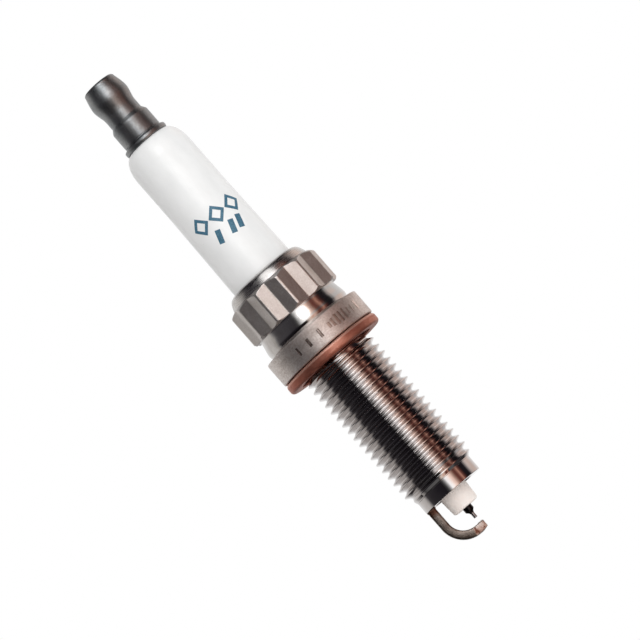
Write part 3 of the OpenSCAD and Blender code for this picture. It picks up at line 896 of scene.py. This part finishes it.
def add_shell(*looks):
    """One closed mesh: end, pilot, helical thread, neck, flange, groove, hexagon, rim and bore. Its looks
    are in the order BRIGHT to RECESS."""
    columns = shell_columns()
    count = len(columns)
    angles = np.radians(columns)
    points, pitch_points = thread_points(columns)
    row_start, row_look = [], []
    for look, rows in (
            (ROLLED, lower_rows(columns)), (SATIN, flange_rows(columns)), (HEXED, hexagon_rows(columns)),
            (BRIGHT, rim_rows(columns)), (BORE, bore_rows(columns))):
        for row in rows:
            row_start.append(len(points))
            row_look.append(look)
            points += [(r * math.cos(a), r * math.sin(a), z) for (r, z), a in zip(row, angles)]

    def helix_point(i, m):
        if m < pitch_points:
            return i * pitch_points + m
        if i + count <= HELIX_TURNS * count:
            return (i + count) * pitch_points
        return (HELIX_TURNS * count + 1) * pitch_points + i - (HELIX_TURNS - 1) * count

    faces = []
    for i in range(HELIX_TURNS * count):
        for m in range(pitch_points):
            faces.append((helix_point(i, m), helix_point(i + 1, m),
                          helix_point(i + 1, m + 1), helix_point(i, m + 1)))

    # The pilot meets the first turn's lower edge, and the neck the last turn's upper edge
    pilot_row = row_look.count(ROLLED) - 1
    pilot, neck = row_start[pilot_row], row_start[pilot_row + 1]
    for j in range(count - 1):
        faces.append((pilot + j, pilot + j + 1, helix_point(j + 1, 0), helix_point(j, 0)))
    start_edge = [helix_point(0, m) for m in range(pitch_points + 1)]
    faces.append((pilot + count - 1, pilot, *start_edge, helix_point(count - 1, 0)))
    top = (HELIX_TURNS - 1) * count
    end_edge = [helix_point(HELIX_TURNS * count, m) for m in range(pitch_points, 0, -1)]
    faces.append((helix_point(top, pitch_points), helix_point(top + 1, pitch_points),
                  neck + 1, neck, *end_edge))
    for j in range(1, count):
        faces.append((helix_point(top + j, pitch_points), helix_point(top + j + 1, pitch_points),
                      neck + (j + 1) % count, neck + j))
    face_looks = [ROLLED] * len(faces)

    for i, a in enumerate(row_start):
        if i == pilot_row:
            continue
        b = row_start[(i + 1) % len(row_start)]
        z = points[a][2]
        look = row_look[i]
        if look == SATIN and not FLANGE_BOTTOM - 0.01 <= z <= FLANGE_TOP + 0.03:
            look = BRIGHT
        on_side = look == SATIN and FLANGE_BOTTOM + 0.8 < z < FLANGE_TOP - 0.8
        for j in range(count):
            k = (j + 1) % count
            faces.append((a + j, a + k, b + k, b + j))
            stamped = on_side and min(
                math.hypot(*points[corner][:2]) for corner in faces[-1]) < FLANGE_R - STROKE_DEPTH / 2
            face_looks.append(RECESS if stamped else look)
    return add_piece("shell_finish", points, faces, looks, PLUG, ["shell"], face_looks)


# ---- gasket

def add_gasket(look):
    """Folded copper ring with a rounded wall, a flat lower layer and the lip between its layers."""
    inner, sheet = CREST_R + 0.12, 0.42
    lip_low = (GASKET_H - sheet) / 2
    lip_end = GASKET_R - 2.2 * sheet
    outline = rounded([
        (inner + 1, 0, 0), (GASKET_R, 0, 0.5), (GASKET_R, GASKET_H, 0.5), (inner, GASKET_H, 0.25),
        (inner, lip_low, 0.25), (lip_end, lip_low, 0.1), (lip_end, lip_low + sheet, 0.1),
        (inner + sheet, lip_low + sheet, 0.05), (inner + sheet, GASKET_H - sheet, 0.05),
        (GASKET_R - sheet, GASKET_H - sheet, 0.12), (GASKET_R - sheet, sheet, 0.12),
        (inner + 0.35, sheet, 0.1), (inner + 0.35, 0, 0.1), (inner + 0.8, 0, 0)], 5)
    turned("gasket_finish", outline, 192, [look], GASKET_RING, ["gasket"], closed=True)


# ---- insulator

def add_insulator(glazed, bare):
    """Ceramic body with its domed top, its nose, and the bore that holds the terminal and electrode."""
    nose_r, seat_r, body_r, collar_r = 2.15, 2.9, 3.7, 5.85
    end_bore_r, electrode_bore_r, bore_r = 0.76, 1.05, resistor_r + 0.01
    step = FLANGE_BOTTOM + 1.3
    shoulder = HEX_BOTTOM + 0.4
    # The seat's cone stands this much above the shell's ledge, by the slanting washer between them
    seat_lift = 0.3536
    bore_end = seal_bottom - 0.32
    dome = [(BOOT_R - DOME_IN * (1 - math.cos(t)), INSULATOR_TOP - DOME_H + DOME_H * math.sin(t))
            for t in np.linspace(0, math.pi / 2, 26)[1:-1]]
    outside = rounded([
        (end_bore_r, NOSE_END + 0.4, 0), (end_bore_r, NOSE_END, 0.06), (nose_r, NOSE_END, 0.45),
        (nose_r + 0.2, SHELL_END, 0.5), (seat_r - 0.1, LEDGE_Z - 1, 0.3),
        (seat_r, LEDGE_Z + seat_r - LEDGE_R + seat_lift, 0.05),
        (body_r, LEDGE_Z + body_r - LEDGE_R + seat_lift, 0.2), (body_r, step, 0.3),
        (collar_r, step + collar_r - body_r, 0.3), (collar_r, shoulder, 0.2), (HEAD_R, shoulder + 0.68, 0.2),
        (HEAD_R, RIM_TOP + 1, 6), (BOOT_R, BOOT_BOTTOM, 6), (BOOT_R, INSULATOR_TOP - 3.7, 0)], 6)
    bore = rounded([
        (BOOT_R - DOME_IN, INSULATOR_TOP, 0), (bore_r, INSULATOR_TOP, 0.12), (bore_r, bore_end, 0.1),
        (electrode_bore_r, bore_end - bore_r + electrode_bore_r, 0.05),
        (electrode_bore_r, NOSE_END + 2.6, 0.05), (end_bore_r, NOSE_END + 2.3, 0.05),
        (end_bore_r, NOSE_END + 0.6, 0)], 4)
    turned("insulator_finish", outside + dome + bore, 180, [glazed, bare], PLUG,
           ["insulator"], look_of=lambda z: 1 if z < LEDGE_Z else 0, closed=True)


def ribbon(path, width, closed):
    """Points and faces of a thin printed stroke that follows the insulator. path is in (distance round,
    height) on the insulator's surface."""
    proud, sunk, spacing, strips = 0.018, 0.01, 0.12, 4
    corners = [Vector(p) for p in path]
    count = len(corners)
    pairs = [(corners[i], corners[(i + 1) % count]) for i in range(count if closed else count - 1)]
    across = []
    for i, here in enumerate(corners):
        sides = []
        for k in (i - 1, i):
            if closed or 0 <= k < count - 1:
                a, b = corners[k % count], corners[(k + 1) % count]
                run = (b - a).normalized()
                sides.append(Vector((-run.y, run.x)))
        mean = sum(sides, Vector((0, 0))).normalized()
        across.append(mean * width / 2 / max(0.3, mean.dot(sides[0])))
    sections = []
    for i, (a, b) in enumerate(pairs):
        steps = max(2, round((b - a).length / spacing))
        for k in range(steps):
            t = k / steps
            sections.append((a.lerp(b, t), across[i].lerp(across[(i + 1) % count], t)))
    if not closed:
        sections.append((corners[-1], across[-1]))
    points = []
    ring = 2 * (strips + 1)
    for middle, side in sections:
        for level, order in ((proud, range(strips + 1)), (-sunk, range(strips, -1, -1))):
            for k in order:
                at = middle + side * (2 * k / strips - 1)
                surface = insulator_head_radius(at.y)
                r = surface + level
                turn = math.radians(-90) + at.x / surface
                points.append((r * math.cos(turn), r * math.sin(turn), at.y))
    faces = quads(len(sections), ring, closed, reverse=True)
    return points, faces if closed else faces + end_caps(len(points), ring)


def add_printed_mark(look):
    """Generic printed mark: a row of three open diamonds over three slanting bars."""
    upper, lower, line, bar = 26.75, 23.9, 0.46, 0.85
    strokes = []
    for x in (-2.4, 0.65, 3.7):
        diamond = [(x - 1.15, upper), (x, upper + 1.2), (x + 1.15, upper), (x, upper - 1.2)]
        strokes.append((diamond, line, True))
    for x in (-1.15, 1.3, 2.7):
        strokes.append(([(x - 0.35, lower - 1.0), (x + 0.35, lower + 1.0)], bar, False))
    points, faces = [], []
    for path, width, closed in strokes:
        more, its_faces = ribbon(path, width, closed)
        start = len(points)
        points += more
        faces += [tuple(start + v for v in f) for f in its_faces]
    add_piece("printed_mark", points, faces, [look], PLUG)


# ---- terminal

def add_terminal(look):
    """Solid terminal: rounded barrel, neck, collar and flange, on a shank with a ribbed lower end."""
    top, base = terminal_high.z, INSULATOR_TOP
    collar_r = BARREL_R + 0.05
    shank_r, rib_r = 1.8, resistor_r - 0.09
    low = terminal_low.z
    side = curve_through([(r, top - down) for r, down in (
        (2.70, 0.52), (2.83, 0.95), (2.99, 1.65), (3.10, 2.3), (BARREL_R, 2.72), (3.105, 3.1), (3.03, 3.5),
        (2.91, 4.0), (2.79, 4.5), (2.73, 4.95), (2.72, 5.3))], 4)
    crown = [(2.16 + 0.56 * math.sin(t), top - 0.5 + 0.5 * math.cos(t)) for t in np.linspace(0, 1.45, 8)]
    collar = rounded([
        side[-1], (2.72, base + 4.6, 0.12), (collar_r - 0.06, base + 4.0, 0.1),
        (collar_r, base + 3.8, 0.25), (collar_r, base + 1.12, 0.03), (collar_r - 0.06, base + 1.06, 0.03),
        (collar_r - 0.02, base + 0.96, 0.03), (3.66, base + 0.66, 0.12), (3.695, base + 0.3, 0.2),
        (3.6, base + 0.005, 0.08), (shank_r, base + 0.005, 0.1), (shank_r, low + 5.6, 0)], 4)
    ribs = [(shank_r, low + 5.4, 0)]
    for i in range(4, -1, -1):
        z = low + 0.4 + i
        ribs += [(shank_r - 0.2, z + 0.7, 0.04), (rib_r, z + 0.5, 0.05), (rib_r, z + 0.2, 0.05),
                 (shank_r - 0.2, z, 0.04)]
    ribs += [(shank_r - 0.4, low, 0.1), (0.3, low, 0)]
    outline = [(0.3, top)] + crown + side + collar[1:] + rounded(ribs, 2)
    turned("terminal_finish", outline, 128, [look], PLUG, ["terminal_stud"])


# ---- electrodes

def add_center_electrode(alloy, tip_look):
    """Sheath with its coned end and the weld round the tip, and the iridium tip itself."""
    tip_r = tip_high.x
    tip_base = sheath_low.z
    end_r, body_r, flange_r = 0.74, 1.0, sheath_high.x
    head_r, head_top = 1.2, sheath_high.z
    core_r = core_high.x + 0.005
    sheath = rounded([
        (tip_r + 0.004, tip_base + 0.25, 0), (tip_r + 0.01, tip_base, 0.02),
        (tip_r + 0.085, tip_base + 0.02, 0.06), (tip_r + 0.08, tip_base + 0.16, 0.06),
        (end_r, NOSE_END - 0.68, 0.14), (end_r, NOSE_END + 2.33, 0.03), (body_r, NOSE_END + 2.62, 0.05),
        (body_r, seal_bottom - 1.2, 0.05), (flange_r, seal_bottom - 0.3, 0.05),
        (flange_r, seal_bottom - 0.02, 0.05), (head_r, seal_bottom - 0.02, 0.05), (head_r, head_top, 0.12),
        (core_r, head_top, 0), (core_r, core_low.z + 0.3, 0.3), (0.12, core_low.z - 0.01, 0)], 4)
    turned("sheath_finish", sheath, 72, [alloy], PLUG,
           ["center_electrode_sheath"])
    tip = rounded([
        (0.03, tip_low.z, 0), (tip_r, tip_low.z, 0.05), (tip_r, tip_high.z, 0.02), (0.03, tip_high.z, 0)], 4)
    turned("iridium_finish", tip, 48, [tip_look], PLUG, ["iridium_tip"])


# Slope under the end of the ground electrode's arm
END_RUN = 0.9
END_RISE = 0.25


def ground_path():
    """Middle line of the strip in the XZ plane, with its direction: leg, bend and arm."""
    outer, bend = ground_low.x, 4.0
    middle = bend - STRIP_T / 2
    centre_x, centre_z = outer + bend, ground_low.z + bend
    path = []
    for z in np.linspace(ground_high.z, centre_z, 9)[:-1]:
        path.append((Vector((outer + STRIP_T / 2, z)), Vector((0, -1))))
    for k in range(29):
        turn = math.radians(180 + 90 * k / 28)
        run = Vector((-math.sin(turn), math.cos(turn)))
        path.append((Vector((centre_x + middle * math.cos(turn), centre_z + middle * math.sin(turn))), run))
    end = ground_high.x
    for x in [*np.linspace(centre_x, end - 0.12, 12)[1:], end - 0.05, end]:
        path.append((Vector((x, ground_low.z + STRIP_T / 2)), Vector((1, 0))))
    return path


def strip_section(half_w, half_t):
    """Rounded rectangle as (across, through) points."""
    fillet, steps = 0.3, 4
    points = []
    for quarter, (sx, sz) in enumerate(((1, 1), (-1, 1), (-1, -1), (1, -1))):
        for k in range(steps + 1):
            turn = math.radians(90 * quarter + 90 * k / steps)
            points.append((sx * (half_w - fillet) + fillet * math.cos(turn),
                           sz * (half_t - fillet) + fillet * math.sin(turn)))
    return points


def add_ground_electrode(alloy, trimmed, weld, pad_look):
    """Bent strip with rounded edges and a tapered end, its weld on the shell, and the platinum pad."""
    path = ground_path()
    half_w = ground_high.y
    taper_start, end, end_w = -1.5, ground_high.x, 0.65
    points = []
    for middle, run in path:
        width = half_w
        if middle.x > taper_start and middle.y < ground_low.z + STRIP_T:
            width = half_w + (end_w - half_w) * (middle.x - taper_start) / (end - taper_start)
        edge = 0.06 if middle.x > end - 0.04 else 0
        normal = Vector((-run.y, run.x))
        low = ground_low.z + max(0, END_RISE * (middle.x - end + END_RUN) / END_RUN)
        for across, through in strip_section(width - edge, STRIP_T / 2 - edge):
            place = middle + normal * through
            z = max(place.y, low) if place.y < middle.y and middle.x > end - END_RUN else place.y
            points.append((place.x, across, z))
    ring = len(points) // len(path)
    faces = quads(len(path), ring, reverse=True) + end_caps(len(points), ring)
    face_looks = [1 if middle.x > taper_start else 0 for middle, _ in path[:-1] for _ in range(ring)] + [0, 1]
    add_piece("ground_electrode_finish", points, faces, [alloy, trimmed], PLUG,
              ["ground_electrode"], face_looks)
    add_weld(weld)
    pad = rounded([
        (0.03, pad_high.z, 0), (pad_high.x, pad_high.z, 0.03), (pad_high.x, pad_low.z, 0.02),
        (0.03, pad_low.z, 0)], 3)
    turned("pad_finish", pad, 48, [pad_look], PLUG, ["ground_electrode_pad"])


def add_weld(look):
    """Lumpy upset of metal where the strip is welded to the shell's end."""
    around, tube, power = 72, 12, 0.35
    x_middle, half_w, z = ground_low.x + STRIP_T / 2, ground_high.y, SHELL_END - 0.06
    points = []
    for i in range(around):
        turn = 2 * math.pi * i / around
        c, s = math.cos(turn), math.sin(turn)
        x = x_middle + STRIP_T / 2 * math.copysign(abs(c) ** power, c)
        y = half_w * math.copysign(abs(s) ** power, s)
        lump = 0.11 + 0.025 * math.sin(5 * turn + 0.7) + 0.02 * math.sin(11 * turn + 2.1)
        out = Vector((c / STRIP_T, s / half_w / 2)).normalized()
        for k in range(tube):
            a = 2 * math.pi * k / tube
            r = 0.8 * lump * math.cos(a)
            points.append((x + out.x * r, y + out.y * r, z + 1.3 * lump * math.sin(a)))
    add_piece("ground_weld", points, quads(around, tube, closed=True), [look], PLUG)


# ---- inner pieces

def dress_inner_nodes():
    """Materials for the CAD nodes that stay: what is sealed inside the plug."""
    glass = (0.16, 0.08, 0.05), (0.42, 0.26, 0.19), 5, 0.03
    wire = (0.34, 0.33, 0.32), (0.56, 0.55, 0.53), 0.32
    looks = {
        "upper_glass_seal": powdery("copper_glass", *glass),
        "lower_glass_seal": powdery("copper_glass_low", *glass),
        "resistor": powdery("carbon_glass", (0.02, 0.02, 0.022), (0.1, 0.1, 0.105), 6, 0.02),
        "talc_filling": powdery("pressed_talc", (0.6, 0.59, 0.55), (0.82, 0.81, 0.77), 4, 0.03),
        "center_electrode_core": drawn_metal("copper_core", (0.45, 0.2, 0.14), (0.74, 0.42, 0.32), 0.3),
        "upper_ring_packing": drawn_metal("steel_wire_upper", *wire),
        "lower_ring_packing": drawn_metal("steel_wire_lower", *wire),
        "seat_packing": drawn_metal("seat_steel", (0.2, 0.2, 0.2), (0.36, 0.35, 0.34), 0.4),
    }
    for node, look in looks.items():
        piece = frame["nodes"][node]
        piece.data.materials.clear()
        piece.data.materials.append(look)


add_camera()
add_studio()
add_shell(nickel_bright(), nickel_satin(), nickel_hex(), nickel_bore(), nickel_rolled(), stamped_recess())
add_gasket(copper_sheet())
add_insulator(glazed_alumina(), bare_alumina())
add_printed_mark(printed_ink())
add_terminal(gunmetal())
add_center_electrode(electrode_alloy(), iridium())
add_ground_electrode(nickel_alloy(), trimmed_end(), heat_tinted_weld(), platinum())
dress_inner_nodes()
